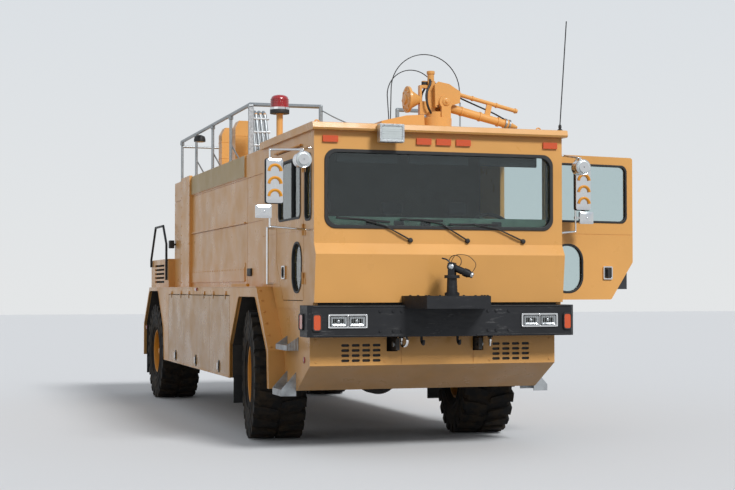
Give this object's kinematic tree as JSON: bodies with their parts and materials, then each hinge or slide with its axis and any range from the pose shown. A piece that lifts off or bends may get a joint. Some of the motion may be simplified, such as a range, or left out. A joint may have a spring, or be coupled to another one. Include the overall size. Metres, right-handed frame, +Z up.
{
  "type": "airport fire truck",
  "caption": "Rear-engined airport fire truck with a hollow cab, steered front wheels, hinged doors and locker lids, a roof turret and a bumper nozzle.",
  "frame": {"origin": "bottom centre of the whole truck's box, on the ground, with the driver's door open as parked", "axes": "+Z up, +Y toward the truck's rear, +X toward the truck's left"},
  "size_m": [4.4709, 10.52, 4.56],
  "materials": {
    "frame_paint": "satin chassis paint, dusty",
    "engine_paint": "cast iron, painted grey",
    "spring_steel": "dark spring steel",
    "yellow_paint": "glossy golden yellow coach paint",
    "rim_paint": "golden yellow wheel paint",
    "black_paint": "semi-gloss black paint",
    "tyre_rubber": "matt tyre rubber",
    "glass": "tinted safety glass",
    "interior_grey": "grey floor lining",
    "seat_cloth": "dark woven seat cloth",
    "dash_plastic": "grained black plastic",
    "step_plate": "chequer plate",
    "galvanised": "galvanised tube",
    "chrome": "chromed",
    "amber_lens": "orange lens",
    "red_lens": "red lens",
    "black_rubber": "black rubber and rod"
  },
  "bodies": {
    "chassis": {"chassis_frame": "frame_paint", "engine": "engine_paint", "front_axle": "frame_paint", "rear_axle": "frame_paint", "springs": "spring_steel", "driveline": "frame_paint", "cab_front": "yellow_paint", "cab_side_right": "yellow_paint", "cab_side_left": "yellow_paint", "cab_tub": "interior_grey", "cab_roof": "yellow_paint", "cab_glass": "glass", "seats": "seat_cloth", "dashboard": "dash_plastic", "body_right": "yellow_paint", "body_left": "yellow_paint", "tank_body": "yellow_paint", "rear_deck": "yellow_paint", "bumper": "black_paint", "front_skirt": "yellow_paint", "steps": "step_plate", "roof_rails": "galvanised", "roof_stacks": "yellow_paint", "turret_base": "yellow_paint", "mirrors": "chrome", "headlamps": "chrome", "amber_lamps": "amber_lens", "beacon": "red_lens", "antennas": "black_rubber", "wipers": "black_rubber", "deck_rails": "black_paint"},
    "steer_right": {"knuckle_right": "frame_paint"},
    "wheel_front_right": {"tyre_front_right": "tyre_rubber", "rim_front_right": "rim_paint"},
    "wheel_rear_right": {"tyre_rear_right": "tyre_rubber", "rim_rear_right": "rim_paint"},
    "cab_door_right": {"door_right": "yellow_paint", "door_glass_right": "glass"},
    "locker_right_1": {"lid_right_1": "yellow_paint"},
    "locker_right_2": {"lid_right_2": "yellow_paint"},
    "locker_right_3": {"lid_right_3": "yellow_paint"},
    "steer_left": {"knuckle_left": "frame_paint"},
    "wheel_front_left": {"tyre_front_left": "tyre_rubber", "rim_front_left": "rim_paint"},
    "wheel_rear_left": {"tyre_rear_left": "tyre_rubber", "rim_rear_left": "rim_paint"},
    "cab_door_left": {"door_left": "yellow_paint", "door_glass_left": "glass"},
    "locker_left_1": {"lid_left_1": "yellow_paint"},
    "locker_left_2": {"lid_left_2": "yellow_paint"},
    "locker_left_3": {"lid_left_3": "yellow_paint"},
    "roof_turret": {"turret_head": "yellow_paint"},
    "roof_barrel": {"turret_barrel": "yellow_paint"},
    "nose_swivel": {"nozzle_swivel": "black_paint"},
    "nose_nozzle": {"bumper_nozzle": "black_paint"}
  },
  "joints": [
    {"name": "steer_left", "type": "hinge", "parent": "chassis", "child": "steer_left", "pos_m": [0.77857, -2.57, 0.728], "axis": [0, 0, 1], "range_deg": [-23, 37]},
    {"name": "roll_front_left", "type": "hinge", "parent": "steer_left", "child": "wheel_front_left", "pos_m": [0.77857, -2.57, 0.728], "axis": [0.9925, -0.1219, 0], "continuous": true},
    {"name": "roll_rear_left", "type": "hinge", "parent": "chassis", "child": "wheel_rear_left", "pos_m": [0.95857, 4.04, 0.728], "axis": [1, 0, 0], "continuous": true},
    {"name": "steer_right", "type": "hinge", "parent": "chassis", "child": "steer_right", "pos_m": [-1.32143, -2.57, 0.728], "axis": [0, 0, 1], "range_deg": [-23, 37]},
    {"name": "roll_front_right", "type": "hinge", "parent": "steer_right", "child": "wheel_front_right", "pos_m": [-1.32143, -2.57, 0.728], "axis": [0.9925, -0.1219, 0], "continuous": true},
    {"name": "roll_rear_right", "type": "hinge", "parent": "chassis", "child": "wheel_rear_right", "pos_m": [-1.50143, 4.04, 0.728], "axis": [1, 0, 0], "continuous": true},
    {"name": "door_left", "type": "hinge", "parent": "chassis", "child": "cab_door_left", "pos_m": [1.10157, -4.364, 2.3], "axis": [0, 0, 1], "range_deg": [-4, 81]},
    {"name": "door_right", "type": "hinge", "parent": "chassis", "child": "cab_door_right", "pos_m": [-1.64443, -4.364, 2.3], "axis": [0, 0, 1], "range_deg": [0, 85]},
    {"name": "lid_left_1", "type": "hinge", "parent": "chassis", "child": "locker_left_1", "pos_m": [1.27557, -0.965, 1.636], "axis": [0, -1, 0], "range_deg": [0, 90]},
    {"name": "lid_left_2", "type": "hinge", "parent": "chassis", "child": "locker_left_2", "pos_m": [1.27557, 0.56, 1.636], "axis": [0, -1, 0], "range_deg": [0, 90]},
    {"name": "lid_left_3", "type": "hinge", "parent": "chassis", "child": "locker_left_3", "pos_m": [1.27557, 2.105, 1.636], "axis": [0, -1, 0], "range_deg": [0, 90]},
    {"name": "lid_right_1", "type": "hinge", "parent": "chassis", "child": "locker_right_1", "pos_m": [-1.81843, -0.965, 1.636], "axis": [0, 1, 0], "range_deg": [0, 90]},
    {"name": "lid_right_2", "type": "hinge", "parent": "chassis", "child": "locker_right_2", "pos_m": [-1.81843, 0.56, 1.636], "axis": [0, 1, 0], "range_deg": [0, 90]},
    {"name": "lid_right_3", "type": "hinge", "parent": "chassis", "child": "locker_right_3", "pos_m": [-1.81843, 2.105, 1.636], "axis": [0, 1, 0], "range_deg": [0, 90]},
    {"name": "turret_turn", "type": "hinge", "parent": "chassis", "child": "roof_turret", "pos_m": [0.14857, -3.46, 3.53], "axis": [0, 0, 1], "range_deg": [-225, 45]},
    {"name": "barrel_raise", "type": "hinge", "parent": "roof_turret", "child": "roof_barrel", "pos_m": [0.22857, -3.46, 3.8], "axis": [0, -1, 0], "range_deg": [0, 58]},
    {"name": "nozzle_turn", "type": "hinge", "parent": "chassis", "child": "nose_swivel", "pos_m": [-0.27143, -5.06, 1.64], "axis": [0, 0, 1], "range_deg": [-150, 30]},
    {"name": "nozzle_raise", "type": "hinge", "parent": "nose_swivel", "child": "nose_nozzle", "pos_m": [-0.27143, -5.06, 1.925], "axis": [-0.5, -0.866, 0], "range_deg": [-5, 60]}
  ],
  "couplings": [
    {"joint": "steer_right", "follows": "steer_left", "ratio": 1}
  ]
}
